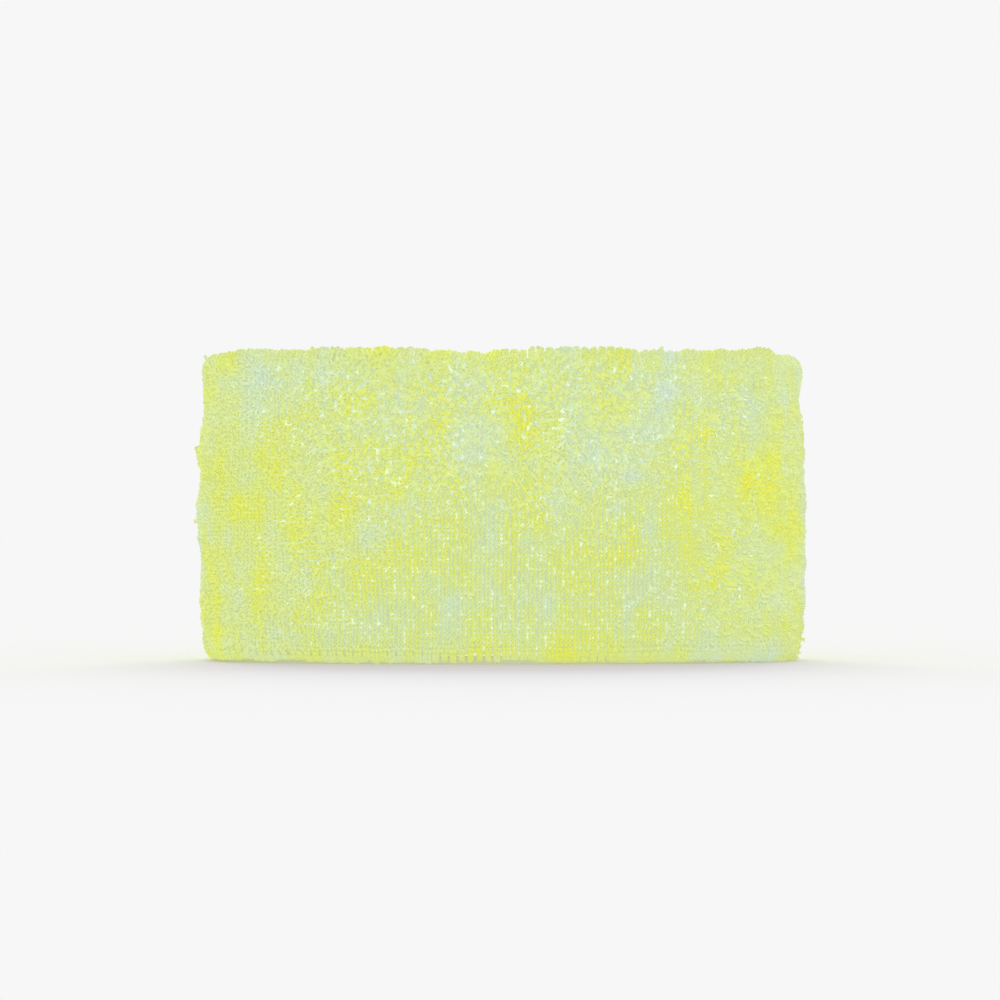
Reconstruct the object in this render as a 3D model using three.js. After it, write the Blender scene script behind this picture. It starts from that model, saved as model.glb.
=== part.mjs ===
// A terry sweat wristband, relaxed and standing on its lower rim. Millimetres, +Z up.
// The band is one knitted tube, folded in on itself into a double wall and closed by an overlock seam
// that runs round the inside at mid height. The tube is two yarn systems knitted together: a thin ground
// knit that carries the load, and a pile of cotton loops that covers all of it. Covered elastic threads
// are laid into the ground of both walls.
// The origin is on the floor under the middle of the band. X is across the band, -Y is its front.

import * as THREE from "three";

// Driving dimensions.
const BAND_WIDTH = 90.8; // outside, across the rims
const BAND_DEPTH = 39; // outside, front to back
const BAND_HEIGHT = 47.4;
const OVAL_POWER = 2.6; // 2 is an ellipse; a higher power has flatter front and back faces
const BELLY = 0.8; // how far the walls bow outwards at mid height
const PILE_THICKNESS = 1.6; // height of the loops
const GROUND_THICKNESS = 0.5; // the knit that carries the loops
const ELASTIC_DIAMETER = 0.6;
const ELASTIC_THREADS_PER_WALL = 6;
const SEAM_THREAD_DIAMETER = 0.4;
const SEAM_STAND = 1.5; // how far the sewn edges stand out of the inner face
const RIM_RADIUS = 2.2; // outside corner of the folded rims
const CLEARANCE = 0.3; // between layers that touch

// How finely the shapes are faceted.
const STEPS_ROUND = 56; // the same for every layer, so that their facets stay parallel
const STEPS_PER_SIDE = 4; // up one side of the wall, to follow its bow
const THREAD_SIDES = 4;

// The wall, from its outer face inwards: pile, ground, elastic core, ground, pile.
const GROUND_INSET = PILE_THICKNESS + CLEARANCE;
const CORE_INSET = GROUND_INSET + GROUND_THICKNESS;
const CORE_GAP = ELASTIC_DIAMETER + 2 * CLEARANCE;
const WALL = 2 * CORE_INSET + CORE_GAP;
const MID_HEIGHT = BAND_HEIGHT / 2;

// The sewn edges are two lips of the ground knit, face to face, that stand out through a slit in the pile.
const LIP_INNER = CLEARANCE / 2;
const LIP_OUTER = LIP_INNER + GROUND_THICKNESS;
const SLIT_HALF = LIP_OUTER + CLEARANCE;
const LIP_TIP = WALL + SEAM_STAND;

// The oval that the outer face follows at the rims, seen from above.
class OvalOutline extends THREE.Curve {
  getPoint(t, target = new THREE.Vector3()) {
    const angle = 2 * Math.PI * t;
    const along = (value) => Math.sign(value) * Math.abs(value) ** (2 / OVAL_POWER);
    return target.set(
      (BAND_WIDTH / 2) * along(Math.cos(angle)),
      (BAND_DEPTH / 2) * along(Math.sin(angle)),
      0,
    );
  }
}

// The outline's outward normal is the gradient of the oval's equation.
function outwardAt(point) {
  const slope = (value, half) => (Math.sign(value) * Math.abs(value / half) ** (OVAL_POWER - 1)) / half;
  return new THREE.Vector3(
    slope(point.x, BAND_WIDTH / 2),
    slope(point.y, BAND_DEPTH / 2),
    0,
  ).normalize();
}

const outline = new OvalOutline();
outline.arcLengthDivisions = 4000;
const stations = Array.from({ length: STEPS_ROUND }, (_, i) => {
  const point = outline.getPointAt(i / STEPS_ROUND);
  return { point, outward: outwardAt(point) };
});

// How far the wall bows outwards at a height.
function bow(height) {
  const share = height / MID_HEIGHT - 1;
  return BELLY * (1 - share * share);
}

// Makes a closed ring round the band from a section of its wall. The section runs anticlockwise, with x
// as the depth below the outer face and y as the height. A lathe gives the ring its faces, and each
// vertex is then set at its depth and height on the oval. Depth runs inwards, where a lathe's radius runs
// outwards, so the section is taken backwards to keep the faces pointing out.
function ring(name, section, material) {
  const closed = [section[0], ...[...section].reverse()];
  const geometry = new THREE.LatheGeometry(closed, STEPS_ROUND);
  const position = geometry.getAttribute("position");
  for (let i = 0; i < position.count; i += 1) {
    const { point, outward } = stations[Math.floor(i / closed.length) % STEPS_ROUND];
    const { x: depth, y: height } = closed[i % closed.length];
    const outwards = bow(height) - depth;
    position.setXYZ(i, point.x + outward.x * outwards, point.y + outward.y * outwards, height);
  }
  geometry.computeVertexNormals();
  const mesh = new THREE.Mesh(geometry, material);
  mesh.name = name;
  return mesh;
}

// One face of the folded wall, at an inset from the outside. It starts above mid height on the inner
// side, runs over the top rim, down the outer side, under the bottom rim and up to below mid height.
// slit is half of the gap that it leaves there.
function foldedFace(inset, slit) {
  const radius = Math.max(RIM_RADIUS - inset, 0);
  const [outer, inner, low, high] = [inset, WALL - inset, inset, BAND_HEIGHT - inset];
  const path = new THREE.Path();
  const side = (x, from, to, steps) => {
    for (let i = 1; i <= steps; i += 1) path.lineTo(x, from + ((to - from) * i) / steps);
  };
  const corner = (x, y, quarter) => {
    if (radius > 0) path.absarc(x, y, radius, (quarter * Math.PI) / 2, ((quarter + 1) * Math.PI) / 2);
  };
  path.moveTo(inner, MID_HEIGHT + slit);
  side(inner, MID_HEIGHT + slit, high - radius, STEPS_PER_SIDE / 2);
  corner(inner - radius, high - radius, 0);
  path.lineTo(outer + radius, high);
  corner(outer + radius, high - radius, 1);
  side(outer, high - radius, low + radius, STEPS_PER_SIDE);
  corner(outer + radius, low + radius, 2);
  path.lineTo(inner - radius, low);
  corner(inner - radius, low + radius, 3);
  side(inner, low + radius, MID_HEIGHT - slit, STEPS_PER_SIDE / 2);
  return path.getPoints(1).filter((p, i, all) => i === 0 || p.distanceTo(all[i - 1]) > 1e-6);
}

// A round thread's section, centred on a depth and height.
function threadSection(depth, height, diameter) {
  return Array.from({ length: THREAD_SIDES }, (_, i) => {
    const angle = (2 * Math.PI * (i + 0.5)) / THREAD_SIDES;
    return new THREE.Vector2(
      depth + (diameter / 2) * Math.cos(angle),
      height + (diameter / 2) * Math.sin(angle),
    );
  });
}

const cottonPile = new THREE.MeshStandardMaterial({ color: 0xd8e67c, roughness: 1, metalness: 0 });
const nylonGround = new THREE.MeshStandardMaterial({ color: 0xd3e2c8, roughness: 0.85, metalness: 0 });
const coveredRubber = new THREE.MeshStandardMaterial({ color: 0xe6ebdc, roughness: 0.6, metalness: 0 });
const sewingThread = new THREE.MeshStandardMaterial({ color: 0xdbe95a, roughness: 0.7, metalness: 0 });

// The pile of loops covers the ground on every side, apart from the slit at the seam.
function terryPile() {
  const section = [...foldedFace(0, SLIT_HALF), ...foldedFace(PILE_THICKNESS, SLIT_HALF).reverse()];
  return ring("terry_pile", section, cottonPile);
}

// The ground knit is folded the same way, and its two raw edges stand out as the seam's lips.
function groundKnit() {
  const lip = (height) => new THREE.Vector2(LIP_TIP, MID_HEIGHT + height);
  const section = [
    lip(LIP_OUTER),
    ...foldedFace(GROUND_INSET, LIP_OUTER),
    lip(-LIP_OUTER),
    lip(-LIP_INNER),
    ...foldedFace(CORE_INSET, LIP_INNER).reverse(),
    lip(LIP_INNER),
  ];
  return ring("ground_knit", section, nylonGround);
}

// The elastic threads lie in the core. Those of the outer and the inner wall take turns up the band.
function elasticThreads() {
  const total = 2 * ELASTIC_THREADS_PER_WALL;
  const lowest = CORE_INSET + CLEARANCE + ELASTIC_DIAMETER / 2;
  const spacing = (BAND_HEIGHT - 2 * lowest) / (total - 1);
  return Array.from({ length: total }, (_, i) => {
    const wall = i % 2 === 0 ? "outer" : "inner";
    const name = `elastic_thread_${wall}_${Math.floor(i / 2) + 1}`;
    const section = threadSection(WALL / 2, lowest + spacing * i, ELASTIC_DIAMETER);
    return ring(name, section, coveredRubber);
  });
}

// The three threads of the overlock stitch, on the faces of the two lips.
function seamThreads() {
  const radius = SEAM_THREAD_DIAMETER / 2;
  const offLip = LIP_OUTER + CLEARANCE + radius;
  const rootDepth = WALL + CLEARANCE + radius;
  const edgeDepth = LIP_TIP - radius;
  const threads = [
    ["seam_needle_thread", rootDepth, offLip],
    ["seam_upper_looper_thread", edgeDepth, offLip],
    ["seam_lower_looper_thread", edgeDepth, -offLip],
  ];
  return threads.map(([name, depth, rise]) =>
    ring(name, threadSection(depth, MID_HEIGHT + rise, SEAM_THREAD_DIAMETER), sewingThread),
  );
}

const wristband = new THREE.Group();
wristband.add(terryPile(), groundKnit(), ...elasticThreads(), ...seamThreads());

export default wristband;
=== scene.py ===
# The looks of a terry sweat wristband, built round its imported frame. Blender units are metres.
#
# The band is one knitted tube, folded into a double wall. A thin nylon ground knit carries loops of
# dyed cotton yarn on both faces, and an overlock seam closes the tube round the inside at mid height.
# Every loop of the pile is a piece of yarn of its own, set out in wales (the columns of the knit, which
# run up the wall, over the rim and down the other side) and courses (its rows, which run round).

import math

import bmesh
import bpy
import numpy as np
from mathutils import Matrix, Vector


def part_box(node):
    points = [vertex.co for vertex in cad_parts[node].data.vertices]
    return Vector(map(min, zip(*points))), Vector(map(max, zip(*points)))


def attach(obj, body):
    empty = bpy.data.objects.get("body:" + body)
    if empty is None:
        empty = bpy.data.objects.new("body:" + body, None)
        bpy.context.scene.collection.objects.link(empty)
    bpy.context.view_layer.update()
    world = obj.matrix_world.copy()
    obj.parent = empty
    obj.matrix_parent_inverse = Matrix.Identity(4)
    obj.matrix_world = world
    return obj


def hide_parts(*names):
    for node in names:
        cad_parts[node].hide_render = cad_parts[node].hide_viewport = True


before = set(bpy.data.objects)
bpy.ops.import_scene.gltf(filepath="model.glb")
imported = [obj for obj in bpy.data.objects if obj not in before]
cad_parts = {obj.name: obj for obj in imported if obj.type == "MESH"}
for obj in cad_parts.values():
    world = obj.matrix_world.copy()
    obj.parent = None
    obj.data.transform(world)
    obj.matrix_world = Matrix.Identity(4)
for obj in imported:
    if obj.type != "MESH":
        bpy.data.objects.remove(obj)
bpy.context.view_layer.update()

MM = 0.001
UP = np.array([0.0, 0.0, 1.0])

# The form, from the frame and from the same values as the part.
_, pile_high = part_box("terry_pile")
ground_low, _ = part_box("ground_knit")
BELLY = 0.8 * MM  # how far the walls bow outwards
SETTLING = 0.7  # 1 puts the fullest part of the walls at mid height, and less puts it lower
RIM_FLARE = 0.5 * MM  # how far the top rim rolls out
FLARE_REACH = 3.5 * MM  # how far down from the top rim that goes
END_SAG = 0.6 * MM  # how far the top rim sags at the two tight ends of the oval
OVAL_POWER = 2.6  # 2 is an ellipse; a higher power has flatter front and back faces
RIM_POWER = 3.2  # the same for the fold at the rims
HALF_WIDTH = pile_high.x - BELLY
HALF_DEPTH = pile_high.y - BELLY
HEIGHT = pile_high.z
MID_HEIGHT = HEIGHT / 2
GROUND_INSET = ground_low.z  # from the tips of the loops to the ground that carries them
WALL = 6.0 * MM  # the whole double wall, from the outer face to the inner one
GROUND_THICKNESS = 0.5 * MM
FABRIC_STEP = 0.8 * MM  # between the rows of the ground's mesh
SEAM_STAND = 1.5 * MM  # how far the sewn edges stand out of the inner face

# The knit.
WALES = 168  # round the band, as on a small circular machine
YARN_ENDS = 2  # the pile is knitted with two ends of yarn together, so each stitch carries two loops
COURSE_PITCH = 0.63 * MM
LEG_SPACING = 0.18 * MM  # between the two legs of a loop
YARN = 0.55 * MM  # the cotton yarn's diameter
YARN_SIDES = 4
LOOP_HEIGHT = 1.5 * MM  # as drawn; each copy is stretched to reach from the ground to the pile's face
LOOP_LEANS = (-0.5 * MM, -0.25 * MM, 0.0, 0.25 * MM, 0.5 * MM)  # of the crown over the legs
LEAN_SPREAD = 1.6  # how far matted loops spread over those leans, in steps of the list
TIP_INSET = 0.3 * MM  # from the outer face to the middle of the yarn at the tips of the loops
SEAM_GAP = 1.0 * MM  # the pile stops this far above and below the seam
FLOOR_GAP = 0.02 * MM  # loops that would go through the floor are pressed flat, this far above it
GROUND_COURSES = 2 * WALES / 3  # rows of Vs along the tube, drawn coarser than they are so that they show

# How the folds and wear have changed the pile. The reaches are from the edge of a rim: a change is full
# up to the first distance, and gone from the second on. Patches are in (ends of yarn, courses).
STRETCHED_REACH = (1.2 * MM, 3.2 * MM)
COMBED_REACH = (1.2 * MM, 7.2 * MM)
COMBING = 0.5  # how far combed loops lean, as a slope
FURROW = 0.05  # how far the loops of a stitch are drawn together, in ends of yarn
OPEN_FURROW = 0.22  # how much further where the fabric is stretched
MATTED_PATCHES = (14.0, 12.0)
NAP_PATCHES = (4.0, 5.0)
NAP_DRIFT = 0.3  # how far matted loops lean together, as a slope
NAP_SCATTER = 0.2  # how far each leans by itself
TWIST_SCATTER = 0.6  # how far each is twisted, in radians
SNAGGED_SHARE = 0.0015  # of the loops, which have been pulled longer
SNAG_LENGTH = 0.35  # of a loop's height

# How strongly the loops are dyed, from 0 where the colour has hardly taken to 1 where it is strongest: its
# mean, and its patches with how much each kind varies.
EVEN_DYE = 0.54
DYE_PATCHES = (
    ((10.0, 12.0), 0.05),
    ((3.0, 4.5), 0.09),
    ((1.1, 1.5), 0.07),
    ((0.8, 6.0), 0.05),
    ((6.0, 0.8), 0.03),
)
END_PAINTED_PALING = 0.12  # how much paler the loops are painted at the very ends of the oval: painted light, which catches them there

# The overlock seam.
STITCHES = 73  # round the inner face, about 2.5 mm each
STITCH_UNEVENNESS = 0.04 * MM
THREAD = 0.36 * MM  # the sewing thread's diameter
THREAD_SIDES = 6
TWISTS = 6  # of the thread in each stitch

# Sockets of a Mix node that mixes colours.
MIX_FACTOR, MIX_A, MIX_B, MIX_RESULT = 0, 6, 7, 2

random = np.random.default_rng(168)  # seeded, so that every run gives the same band


# ---------------------------------------------------------------- shapes of the band

def powered(value, power):
    """Bends a sine or cosine towards a square, for ovals flatter than an ellipse."""
    return np.sign(value) * np.abs(value) ** (2 / power)


def unit(vectors):
    """The same directions, at a length of 1."""
    return vectors / np.linalg.norm(vectors, axis=-1, keepdims=True)


def fading(distance, full, none):
    """1 up to the distance full, falling evenly to 0 at the distance none."""
    return np.clip((none - distance) / (none - full), 0, 1)


class Oval:
    """The outline of the outer face at the rims, seen from above, measured evenly along its length."""

    points = 8001  # enough to measure along

    def __init__(self):
        angle = np.linspace(0, 2 * np.pi, self.points)
        self.x = HALF_WIDTH * powered(np.cos(angle), OVAL_POWER)
        self.y = HALF_DEPTH * powered(np.sin(angle), OVAL_POWER)
        steps = np.hypot(np.diff(self.x), np.diff(self.y))
        self.share = np.concatenate([[0], np.cumsum(steps)]) / steps.sum()

    def at(self, share):
        """Places, and the directions outwards and round, at shares of the length from 0 to 1."""
        share = np.mod(share, 1)
        x = np.interp(share, self.share, self.x)
        y = np.interp(share, self.share, self.y)
        # Outwards is the way that the oval's equation grows fastest.
        slope_x = powered(x / HALF_WIDTH, 2 / (OVAL_POWER - 1)) / HALF_WIDTH
        slope_y = powered(y / HALF_DEPTH, 2 / (OVAL_POWER - 1)) / HALF_DEPTH
        level = np.zeros_like(x)
        steep = np.hypot(slope_x, slope_y)
        outward = np.stack([slope_x / steep, slope_y / steep, level], -1)
        place = np.stack([x, y, level], -1)
        return place, outward, np.cross(UP, outward)


oval = Oval()


def bow(height):
    """How far the wall bows outwards at a height. The band has settled, so that it is fullest below
    mid height, and its top rim rolls out a little."""
    share = np.clip(height / HEIGHT, 0, 1)
    belly = BELLY * np.sin(np.pi * share**SETTLING) ** 2
    return belly + RIM_FLARE * np.exp(-(((HEIGHT - height) / FLARE_REACH) ** 2))


def fold_line(inset, gap):
    """One layer of the folded wall as (depth, height) points. It starts at the seam, gap above mid
    height on the inner side, and runs over the top rim, down the outer side and under the bottom rim
    to gap below mid height."""
    reach = WALL / 2 - inset
    points_per_fold = 25
    arc = np.linspace(0, np.pi, points_per_fold)
    side = reach * powered(np.cos(arc), RIM_POWER)
    rise = reach * powered(np.sin(arc), RIM_POWER)
    top = np.stack([WALL / 2 + side, HEIGHT - WALL / 2 + rise], 1)
    bottom = np.stack([WALL / 2 - side, WALL / 2 - rise], 1)
    start = [[WALL - inset, MID_HEIGHT + gap]]
    end = [[WALL - inset, MID_HEIGHT - gap]]
    return np.concatenate([start, top, bottom, end])


def evenly(pitch, line, *others):
    """Points about a pitch apart along a line, and the points that match them on other lines."""
    steps = np.linalg.norm(np.diff(line, axis=0), axis=1)
    along = np.concatenate([[0], np.cumsum(steps)])
    wanted = np.linspace(0, along[-1], round(along[-1] / pitch) + 1)
    return [
        np.stack([np.interp(wanted, along, each[:, axis]) for axis in range(2)], 1)
        for each in (line, *others)
    ]


def towards_end(place):
    """How near a place is to the two tight ends of the oval: 0 in the middle, and 1 at the ends. A high
    power of it keeps a change to the very ends."""
    return np.clip(np.abs(place[..., 0]) / HALF_WIDTH, 0, 1)


def on_wall(share, depth, height):
    """The place at a share round the band, a depth below its outer face, and a height."""
    place, outward, _ = oval.at(share)
    sag = END_SAG * towards_end(place) ** 12 * (height / HEIGHT) ** 8
    return place + outward * (bow(height) - depth)[..., None] + UP * (height - sag)[..., None]


# ---------------------------------------------------------------- meshes

def new_piece(name, mesh, material):
    """Puts a finished mesh in the scene as a piece of the band."""
    for face in mesh.polygons:
        face.use_smooth = True
    piece = bpy.data.objects.new(name, mesh)
    bpy.context.scene.collection.objects.link(piece)
    mesh.materials.append(material)
    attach(piece, "root")
    return piece


def rolled_yarn(centres, radius, sides, flat_to, closed=False):
    """A length of yarn as a mesh: a flat strip, rolled up round the line of centres. flat_to is a
    direction that the line never takes. The yarn ends in points, or joins up with itself where it is
    closed. Its first UV map is the strip laid flat."""
    steps = len(centres) - 1
    bm = bmesh.new()
    bm.loops.layers.uv.new("laid_flat")
    bmesh.ops.create_grid(bm, x_segments=steps, y_segments=sides, size=0.5, calc_uvs=True)
    if closed:
        ahead = np.roll(centres[:-1], -1, axis=0) - np.roll(centres[:-1], 1, axis=0)
        ahead = np.concatenate([ahead, ahead[:1]])
    else:
        ahead = np.gradient(centres, axis=0)
    ahead = unit(ahead)
    across = unit(np.cross(ahead, flat_to))
    over = np.cross(across, ahead)
    for vertex in bm.verts:
        step = round((vertex.co.x + 0.5) * steps)
        turn = 2 * np.pi * (vertex.co.y + 0.5)
        reach = radius if closed or 0 < step < steps else 0
        offset = np.cos(turn) * across[step] + np.sin(turn) * over[step]
        vertex.co = Vector(centres[step] + reach * offset)
    bmesh.ops.remove_doubles(bm, verts=bm.verts, dist=radius / 100)
    bmesh.ops.recalc_face_normals(bm, faces=bm.faces)
    mesh = bpy.data.meshes.new("yarn")
    bm.to_mesh(mesh)
    bm.free()
    return mesh


def pile_loop(lean):
    """One loop of pile yarn as a line of points. It stands along +Z with its legs apart along X, and
    its crown hangs over by lean along Y. The legs are rooted a little below the top of the ground."""
    rise = np.array([-0.1, 0.5, 0.95, 0.95, 0.5, -0.1])
    side = np.array([-0.4, -0.6, -0.4, 0.4, 0.6, 0.4])
    return np.stack([side * LEG_SPACING, lean * np.clip(rise, 0, 1) ** 2, rise * LOOP_HEIGHT], 1)


class Shape:
    """A small mesh as arrays, ready to be copied to many places."""

    def __init__(self, mesh):
        self.corners = np.array([loop.vertex_index for loop in mesh.loops])
        self.sides = np.array([len(face.vertices) for face in mesh.polygons])
        self.places = np.array([vertex.co for vertex in mesh.vertices])
        self.uv = np.array([entry.vector for entry in mesh.uv_layers[0].uv])


def copies(name, shape, places, attributes):
    """One mesh that holds a copy of a shape for each set of vertex places. The copies share one UV
    map, each in a cell of its own, and each copy has one value of each attribute."""
    count, vertices = places.shape[:2]
    mesh = bpy.data.meshes.new(name)
    mesh.vertices.add(count * vertices)
    mesh.vertices.foreach_set("co", places.astype(np.float32).ravel())
    first = np.arange(count)[:, None]
    mesh.loops.add(count * len(shape.corners))
    mesh.loops.foreach_set("vertex_index", (shape.corners + first * vertices).ravel())
    starts = np.concatenate([[0], np.cumsum(shape.sides)[:-1]])
    mesh.polygons.add(count * len(shape.sides))
    mesh.polygons.foreach_set("loop_start", (starts + first * len(shape.corners)).ravel())
    cells = math.ceil(math.sqrt(count))
    margin = 0.06  # of a cell, left free round its edge
    corner = np.stack([first % cells, first // cells], -1)
    uv = (corner + margin + (1 - 2 * margin) * shape.uv) / cells
    mesh.uv_layers.new(name="OFBake").uv.foreach_set("vector", uv.astype(np.float32).ravel())
    for key, values in attributes.items():
        layer = mesh.attributes.new(key, "FLOAT", "POINT")
        layer.data.foreach_set("value", np.repeat(values, vertices).astype(np.float32))
    mesh.update(calc_edges=True)
    mesh.validate()
    return mesh


# ---------------------------------------------------------------- materials

def linear(hex_colour):
    """The linear colour, with alpha, of an sRGB hex value."""
    parts = [int(hex_colour[i : i + 2], 16) / 255 for i in (0, 2, 4)]
    return [p / 12.92 if p <= 0.04045 else ((p + 0.055) / 1.055) ** 2.4 for p in parts] + [1.0]


def new_material(name):
    """A material with nothing but its shader."""
    material = bpy.data.materials.new(name)
    material.use_nodes = True
    return material


def add_node(material, kind, settings=None, *first, **links):
    """Adds a node. settings are its properties and input values; first joins its first inputs to
    outputs in order, and links joins inputs by name."""
    node = material.node_tree.nodes.new(kind)
    for key, value in (settings or {}).items():
        if isinstance(key, int) or key in node.inputs:
            node.inputs[key].default_value = value
        else:
            setattr(node, key, value)
    for socket, output in [*zip(node.inputs, first), *((node.inputs[key], links[key]) for key in links)]:
        material.node_tree.links.new(output, socket)
    return node


def finish(material, settings, links):
    """Sets the shader's own inputs, and joins others to outputs."""
    shader = material.node_tree.nodes["Principled BSDF"]
    for key, value in settings.items():
        shader.inputs[key].default_value = value
    for key, output in links.items():
        material.node_tree.links.new(output, shader.inputs[key])
    return material


def ramp(material, factor, stops):
    """A colour ramp through (position, hex colour) stops."""
    node = add_node(material, "ShaderNodeValToRGB", Fac=factor)
    points = node.color_ramp.elements
    while len(points) < len(stops):
        points.new(0.5)
    for point, (position, colour) in zip(points, stops):
        point.position = position
        point.color = linear(colour)
    return node.outputs["Color"]


def cotton_pile():
    """Combed cotton yarn, dyed neon yellow. The dyeing is uneven from loop to loop. The yarn is
    given a painted glow, which keeps the shade between the loops light. Fine fibres roughen the yarn."""
    material = new_material("neon_dyed_cotton_pile")
    matt_share = 0.42  # how much of its colour the yarn reflects, beside its painted glow
    # The value read here is the uneven dyeing, with painted paling for the light at the very ends of the
    # oval.
    taken = add_node(material, "ShaderNodeAttribute", {"attribute_name": "dye_and_painted_end_light"})
    colour = ramp(
        material,
        taken.outputs["Fac"],
        [(0.0, "d4e6d8"), (0.25, "d8e8b8"), (0.5, "dce99a"), (0.75, "e1eb78"), (1.0, "e8ec56")],
    )
    body = add_node(
        material,
        "ShaderNodeMix",
        {
            "data_type": "RGBA",
            "blend_type": "MULTIPLY",
            MIX_FACTOR: 1.0,
            MIX_B: (matt_share, matt_share, matt_share, 1.0),
        },
    )
    material.node_tree.links.new(colour, body.inputs[MIX_A])
    coordinates = add_node(material, "ShaderNodeTexCoord").outputs["Object"]
    fibres = add_node(
        material, "ShaderNodeTexNoise", {"Scale": 1 / (0.15 * MM), "Detail": 2.0}, Vector=coordinates
    )
    bump = add_node(
        material, "ShaderNodeBump", {"Strength": 0.5, "Distance": 0.05 * MM}, Height=fibres.outputs["Fac"]
    )
    return finish(
        material,
        {
            # painted glow: the yarn lights itself, which keeps the shade between the loops light
            "Emission Strength": 0.7,
            "Roughness": 0.95,
            "Specular IOR Level": 0.2,
            "Sheen Weight": 0.1,
            "Sheen Roughness": 0.6,
        },
        {
            "Base Color": body.outputs[MIX_RESULT],
            "Emission Color": colour,
            "Normal": bump.outputs["Normal"],
        },
    )


def nylon_ground():
    """Plain knit of fine textured nylon, almost white, with a faint blue cast and a soft sheen. Its
    stitches are rows of small Vs, and its colour turns bright bluish white in small specks between the
    loops. It is given a painted glow, which keeps it pale in the shade between the loops."""
    material = new_material("pale_nylon_ground_knit")
    flat = add_node(material, "ShaderNodeUVMap", {"uv_map": "laid_flat"}).outputs["UV"]
    knit = add_node(material, "ShaderNodeMapping", {"Scale": (WALES, GROUND_COURSES, 1)}, Vector=flat)
    parts = add_node(material, "ShaderNodeSeparateXYZ", Vector=knit.outputs["Vector"])
    # Half a stitch slants up and half down, which makes the V.
    slant = add_node(material, "ShaderNodeMath", {"operation": "PINGPONG", 1: 0.5}, parts.outputs["X"])
    climb = add_node(material, "ShaderNodeMath", {"operation": "ADD"}, slant.outputs[0], parts.outputs["Y"])
    yarn = add_node(material, "ShaderNodeMath", {"operation": "PINGPONG", 1: 0.5}, climb.outputs[0])
    coordinates = add_node(material, "ShaderNodeTexCoord").outputs["Object"]
    speckle = add_node(
        material, "ShaderNodeTexNoise", {"Scale": 1 / (0.9 * MM), "Detail": 1.0}, Vector=coordinates
    )
    colour = ramp(material, speckle.outputs["Fac"], [(0.4, "bac6ba"), (0.6, "cad6d0"), (0.74, "dfe9f4")])
    bump = add_node(
        material, "ShaderNodeBump", {"Strength": 0.8, "Distance": 0.2 * MM}, Height=yarn.outputs[0]
    )
    # painted glow: the ground lights itself, which keeps it pale where it lies in shade between the loops
    return finish(
        material,
        {"Emission Strength": 0.5, "Roughness": 0.6, "Sheen Weight": 0.2},
        {"Base Color": colour, "Emission Color": colour, "Normal": bump.outputs["Normal"]},
    )


def covered_rubber():
    """Rubber thread, wound with fine white nylon that shows as a close slanting rib, with painted shade in
    the grooves between its turns and a painted highlight on their crests.
    """
    material = new_material("nylon_covered_rubber")
    coordinates = add_node(material, "ShaderNodeTexCoord").outputs["Object"]
    winding = add_node(
        material,
        "ShaderNodeTexWave",
        {"wave_type": "BANDS", "bands_direction": "DIAGONAL", "Scale": 1 / (1.5 * MM), "Distortion": 0.6},
        coordinates,
    ).outputs["Fac"]
    # painted shade and highlight: the colour follows the rib's height, darker in the grooves and lighter on
    # the crests
    colour = ramp(material, winding, [(0.0, "b4bcae"), (0.5, "e6ebdc"), (1.0, "f4f7ee")])
    bump = add_node(material, "ShaderNodeBump", {"Strength": 0.6, "Distance": 0.05 * MM}, Height=winding)
    return finish(material, {"Roughness": 0.5}, {"Base Color": colour, "Normal": bump.outputs["Normal"]})


def sewing_thread():
    """Spun polyester thread, dyed to match, tighter and a little glossier than the pile. Its twist
    shows as a fine slanting rib, with painted shade in its grooves and a painted highlight on its crests.
    The thread is also given a painted glow."""
    material = new_material("neon_polyester_thread")
    flat = add_node(material, "ShaderNodeUVMap", {"uv_map": "laid_flat"}).outputs["UV"]
    wound = add_node(material, "ShaderNodeMapping", {"Scale": (TWISTS * STITCHES, 1, 1)}, Vector=flat)
    parts = add_node(material, "ShaderNodeSeparateXYZ", Vector=wound.outputs["Vector"])
    twist = add_node(
        material, "ShaderNodeMath", {"operation": "ADD"}, parts.outputs["X"], parts.outputs["Y"]
    )
    ply = add_node(material, "ShaderNodeMath", {"operation": "PINGPONG", 1: 0.5}, twist.outputs[0])
    # painted shade and highlight: the colour follows the rib's height, darker in the grooves and lighter on
    # the crests
    colour = ramp(material, ply.outputs[0], [(0.0, "c6d268"), (0.25, "d8e47c"), (0.5, "e0ea90")])
    bump = add_node(
        material, "ShaderNodeBump", {"Strength": 0.7, "Distance": 0.05 * MM}, Height=ply.outputs[0]
    )
    # painted glow: the thread lights itself
    return finish(
        material,
        {"Emission Strength": 0.35, "Roughness": 0.6, "Sheen Weight": 0.15},
        {"Base Color": colour, "Emission Color": colour, "Normal": bump.outputs["Normal"]},
    )


# ---------------------------------------------------------------- the pile

def pile_courses():
    """Where the courses are rooted and where their tips reach, as (depth, height) points. The courses
    are even along the middle of the pile, so their roots crowd together inside the folded rims."""
    insets = ((GROUND_INSET + TIP_INSET) / 2, GROUND_INSET, TIP_INSET)
    return evenly(COURSE_PITCH, *(fold_line(inset, SEAM_GAP) for inset in insets))[1:]


ROOT_POINTS, TIP_POINTS = pile_courses()
PILE_GRID = (WALES * YARN_ENDS, len(ROOT_POINTS))


def wander(size, amount):
    """A value for each loop that drifts over the pile without a join, in patches of about size, which
    is in (ends of yarn, courses). Its mean is 0 and its spread is amount."""
    spectrum = np.fft.fft2(random.standard_normal(PILE_GRID))
    for axis, reach in enumerate(size):
        waves = np.fft.fftfreq(PILE_GRID[axis]) * reach
        falloff = np.exp(-2 * (np.pi * waves) ** 2)
        spectrum *= falloff[:, None] if axis == 0 else falloff
    field = np.fft.ifft2(spectrum).real
    return amount * ((field - field.mean()) / field.std())


def scatter(amount):
    """A value for each loop that has nothing to do with its neighbours'."""
    return amount * random.standard_normal(PILE_GRID)


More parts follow.
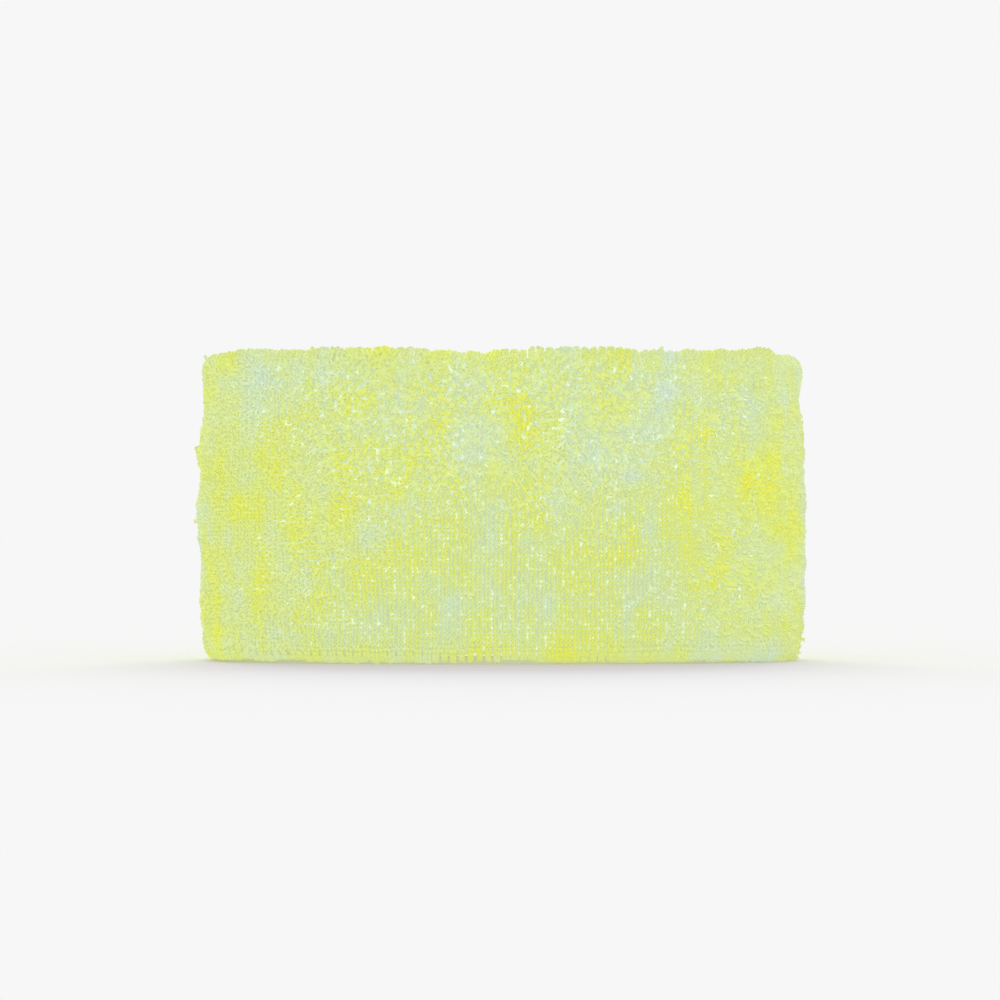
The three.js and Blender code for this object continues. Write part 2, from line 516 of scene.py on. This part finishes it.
class Loops:
    """Where every loop of the pile stands. Each array has a value for each end of yarn round the band
    and each course."""

    def __init__(self):
        self.end, course = np.meshgrid(*(np.arange(count) for count in PILE_GRID), indexing="ij")
        self.depth, self.height = ROOT_POINTS[course, 0], ROOT_POINTS[course, 1]
        tip_depth, tip_height = TIP_POINTS[course, 0], TIP_POINTS[course, 1]
        self.from_rim = MID_HEIGHT - np.abs(tip_height - MID_HEIGHT)
        self.stretched = fading(self.from_rim, *STRETCHED_REACH)

        # The two loops of a stitch are drawn together, which leaves a fine furrow between the wales.
        # Where the fabric is stretched over the rims, the furrows open here and there.
        open_wales = np.clip(0.6 + wander((5.0, 20.0), 0.5), 0, 1)
        drawn = (FURROW + OPEN_FURROW * self.stretched * open_wales) * (1 - 2 * (self.end % YARN_ENDS))
        share = (self.end + 0.5 + drawn + scatter(0.04)) / PILE_GRID[0]
        uneven = scatter(0.04 * MM)
        self.roots = on_wall(share, self.depth, self.height + uneven)
        to_tip = on_wall(share, tip_depth, tip_height + uneven) - self.roots
        self.length = np.linalg.norm(to_tip, axis=-1)
        self.facing = to_tip / self.length[..., None]
        place, _, self.round_band = oval.at(share)
        self.along = np.cross(self.facing, self.round_band)
        self.at_end = towards_end(place)


def lay_down(loops):
    """How matted each loop is, and the three directions that its shape is drawn in: across its legs,
    the way it leans, and up it."""
    # Wear mats the pile in places, where the loops lean and twist more. It runs from 0.15 to 0.85.
    matted = (0.15 + 0.35 * (1 + np.tanh(wander(MATTED_PATCHES, 1.0)))) * (1 - 0.6 * loops.stretched)
    nap_round = matted * (wander(NAP_PATCHES, NAP_DRIFT) + scatter(NAP_SCATTER))
    nap_along = matted * (wander(NAP_PATCHES, NAP_DRIFT) + scatter(NAP_SCATTER))
    # Next to the rims they are combed out towards the edge, and lie side by side like fingers.
    to_edge = np.sign((WALL / 2 - loops.depth) * (loops.height - MID_HEIGHT))
    combed = fading(loops.from_rim, *COMBED_REACH) * (1 - loops.facing[..., 2] ** 2)
    nap_along += to_edge * combed * (COMBING + wander((2.0, 3.0), 0.15))
    up = unit(loops.facing + loops.round_band * nap_round[..., None] + loops.along * nap_along[..., None])
    yaw = math.pi / 2 + matted * scatter(TWIST_SCATTER)
    legs = loops.round_band * np.cos(yaw)[..., None] + loops.along * np.sin(yaw)[..., None]
    legs = unit(legs - up * (legs * up).sum(-1, keepdims=True))
    return matted, np.stack([legs, np.cross(up, legs), up], -2)


def tallness(loops):
    """What each loop's height is multiplied by."""
    tall = 1 + wander((1.5, 3.0), 0.04) + wander((5.0, 9.0), 0.08) + scatter(0.03)
    tall += (wander((0.7, 20.0), 0.1) + wander((6.0, 20.0), 0.08) - 0.08) * loops.stretched
    # At the tight ends of the oval the fabric is bent hard: the outline is ragged, and the top rim flat.
    tall += (wander((8.0, 2.5), 0.1) + wander((3.0, 1.0), 0.08)) * loops.at_end**12
    tall -= (0.2 + 0.3 * loops.at_end**14) * loops.stretched * (loops.height > MID_HEIGHT)
    # Under the lower rim the band stands on every other bunch of loops or so, and the rest nearly reach.
    faces_floor = loops.facing[..., 2] < -0.85
    stood_on = 0.86 + 0.16 * (wander((1.6, 400.0), 1.0) > 0)
    tall = np.where(faces_floor, np.maximum(tall, stood_on), tall)
    snagged = random.random(PILE_GRID) < SNAGGED_SHARE
    return (tall + SNAG_LENGTH * snagged) * loops.length / LOOP_HEIGHT


def make_pile(material):
    """The pile, in ten pieces: the two rims, and the outer and inner faces in quarters."""
    loops = Loops()
    matted, directions = lay_down(loops)
    tall = tallness(loops)
    dye_and_painted_end_light = sum(wander(size, amount) for size, amount in DYE_PATCHES)
    # At the very ends of the oval the loops are painted paler, as painted light that catches them there;
    # the rest is the uneven dyeing.
    dye_and_painted_end_light = np.clip(EVEN_DYE + dye_and_painted_end_light - END_PAINTED_PALING * loops.at_end**30, 0, 1)

    shapes = [Shape(rolled_yarn(pile_loop(lean), YARN / 2, YARN_SIDES, [0, 1, 0])) for lean in LOOP_LEANS]
    places = np.array([shape.places for shape in shapes])
    last = len(shapes) - 1
    picks = np.clip(np.rint(last / 2 + LEAN_SPREAD * matted * scatter(1.0)), 0, last).astype(int)

    def place(chosen):
        """The vertices of the chosen loops."""
        local = places[picks[chosen]]
        local[:, :, 2] *= tall[chosen][:, None]
        spots = loops.roots[chosen][:, None, :] + np.einsum("nvi,nij->nvj", local, directions[chosen])
        spots[..., 2] = np.maximum(spots[..., 2], FLOOR_GAP)
        return spots

    upright = np.abs(loops.height - MID_HEIGHT) < MID_HEIGHT - WALL / 2
    outer, inner = upright & (loops.depth < WALL / 2), upright & (loops.depth > WALL / 2)
    quarter = 4 * loops.end // PILE_GRID[0]
    parts = {
        "pile_rim_top": ~upright & (loops.height > MID_HEIGHT),
        "pile_rim_bottom": ~upright & (loops.height < MID_HEIGHT),
    }
    for number, corner in enumerate(("back_right", "back_left", "front_left", "front_right")):
        parts[f"pile_outer_{corner}"] = outer & (quarter == number)
        parts[f"pile_inner_{corner}"] = inner & (quarter == number)
    pieces = []
    for name, chosen in parts.items():
        mesh = copies(name, shapes[0], place(chosen), {"dye_and_painted_end_light": dye_and_painted_end_light[chosen]})
        piece = new_piece(name, mesh, material)
        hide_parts("terry_pile")
        pieces.append(piece)
    return pieces


# ---------------------------------------------------------------- the ground knit

def make_ground(material):
    """The ground knit: a flat grid of fabric, folded round the wall, with its two edges turned out
    into the seam's lips."""
    body = fold_line(GROUND_INSET, GROUND_THICKNESS)
    tip = WALL + SEAM_STAND
    line = np.concatenate([[[tip, body[0, 1]]], body, [[tip, body[-1, 1]]]])
    points = evenly(FABRIC_STEP, line)[0]
    rows = len(points) - 1
    bm = bmesh.new()
    bm.loops.layers.uv.new("laid_flat")
    bmesh.ops.create_grid(bm, x_segments=WALES, y_segments=rows, size=0.5, calc_uvs=True)
    for vertex in bm.verts:
        row = round((vertex.co.y + 0.5) * rows)
        depth, height = points[row]
        vertex.co = Vector(on_wall(np.array(vertex.co.x + 0.5), np.array(depth), np.array(height)))
    bmesh.ops.remove_doubles(bm, verts=bm.verts, dist=0.01 * MM)
    mesh = bpy.data.meshes.new("ground_knit_fabric")
    bm.to_mesh(mesh)
    bm.free()
    piece = new_piece("ground_knit_fabric", mesh, material)
    shell = piece.modifiers.new("thickness", "SOLIDIFY")
    shell.thickness = GROUND_THICKNESS
    shell.offset = 1.0
    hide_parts("ground_knit")
    return piece


# ---------------------------------------------------------------- the seam

def make_seam(material):
    """The three threads of the overlock stitch. The needle thread runs straight along the upper lip
    and dips through it at each stitch. The two loopers run from those dips over and under the lips to
    their edge and back, and meet there."""
    root = WALL + 0.35 * MM
    edge = WALL + SEAM_STAND
    lip = GROUND_THICKNESS + THREAD / 2
    # One stitch of each thread, as rows of (share of the stitch, depth, height above the seam).
    needle = [(0.0, root, 0.2 * MM), (0.12, root, lip), (0.5, root, lip + 0.08 * MM), (0.88, root, lip)]
    looper = [
        (0.0, root + 0.1 * MM, lip + 0.02 * MM),
        (0.2, root + 0.5 * MM, lip + 0.1 * MM),
        (0.38, edge - 0.3 * MM, lip + 0.04 * MM),
        (0.5, edge + 0.15 * MM, 0.12 * MM),
        (0.62, edge - 0.3 * MM, lip + 0.04 * MM),
        (0.8, root + 0.5 * MM, lip + 0.1 * MM),
    ]
    # Each thread's stitch, the lip it runs on (1 is the upper, -1 the lower) and where its stitches start.
    threads = {
        "needle_thread": (needle, 1, 0.0),
        "upper_looper_thread": (looper, 1, 0.04),
        "lower_looper_thread": (looper, -1, 0.54),
    }
    pieces = []
    number = np.arange(STITCHES)[:, None]
    for name, (rows, side, start) in threads.items():
        stitch = np.array(rows)
        share = ((number + start + stitch[:, 0]) / STITCHES).ravel()
        uneven = STITCH_UNEVENNESS * random.standard_normal(len(share))
        depth = np.tile(stitch[:, 1], STITCHES) + uneven
        height = MID_HEIGHT + side * np.tile(stitch[:, 2], STITCHES)
        centres = on_wall(share, depth, height)
        centres = np.concatenate([centres, centres[:1]])
        mesh = rolled_yarn(centres, THREAD / 2, THREAD_SIDES, UP, closed=True)
        mesh.name = f"overlock_{name}"
        piece = new_piece(mesh.name, mesh, material)
        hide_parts(f"seam_{name}")
        pieces.append(piece)
    return pieces


# ---------------------------------------------------------------- the room

def make_room():
    """A pale floor under an even white sky, with one broad soft light from above. The floor's colour
    makes it exactly as bright as the sky, so that no horizon shows. The lamp is a little green and the
    floor a little lilac, which balances the yellow light that the band throws on its own shadow."""
    sky = 0.93
    lamp_share = np.array([0.3, 0.39, 0.2])  # the lamp's light on the floor, as a share of the sky's
    floor_reach = 30.0  # metres
    world = bpy.data.worlds.new("even_white_sky")
    world.use_nodes = True
    world.node_tree.nodes["Background"].inputs["Color"].default_value = (sky, sky, sky, 1)
    bpy.context.scene.world = world

    lamp = bpy.data.lights.new("broad_soft_lamp", "SUN")
    lamp.angle = math.radians(60)
    tilt = math.radians(50)
    lamp.energy = math.pi * sky * lamp_share.max() / math.cos(tilt)
    lamp.color = lamp_share / lamp_share.max()
    holder = bpy.data.objects.new("broad_soft_lamp", lamp)
    holder.rotation_euler = (-tilt, 0, 0)
    bpy.context.scene.collection.objects.link(holder)

    bm = bmesh.new()
    bmesh.ops.create_grid(bm, x_segments=1, y_segments=1, size=floor_reach)
    mesh = bpy.data.meshes.new("floor")
    bm.to_mesh(mesh)
    bm.free()
    matt = {"Base Color": (*(1 / (1 + lamp_share)), 1), "Roughness": 1.0, "Specular IOR Level": 0.0}
    mesh.materials.append(finish(new_material("pale_matt_floor"), matt, {}))
    floor = bpy.data.objects.new("floor", mesh)
    bpy.context.scene.collection.objects.link(floor)


def make_camera():
    """Looks at the front of the band from a little above its mid height, through a long lens."""
    distance = 0.9
    shown = 151.3 * MM  # the width of the picture at the band
    target = Vector((-0.2 * MM, 0, MID_HEIGHT + 0.5 * MM))
    elevation = math.radians(0.5)
    camera = bpy.data.cameras.new("camera")
    camera.lens = camera.sensor_width * distance / shown
    camera.clip_start = 0.05
    holder = bpy.data.objects.new("camera", camera)
    away = Vector((0, -math.cos(elevation), math.sin(elevation)))
    holder.location = target + away * distance
    holder.rotation_euler = away.to_track_quat("Z", "Y").to_euler()
    bpy.context.scene.collection.objects.link(holder)
    bpy.context.scene.camera = holder


make_camera()
make_room()
bpy.context.scene.view_settings.view_transform = "Standard"
pile = make_pile(cotton_pile())
ground = make_ground(nylon_ground())
seam = make_seam(sewing_thread())

rubber = covered_rubber()
for name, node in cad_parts.items():
    if name.startswith("elastic_thread"):
        node.material_slots[0].material = rubber
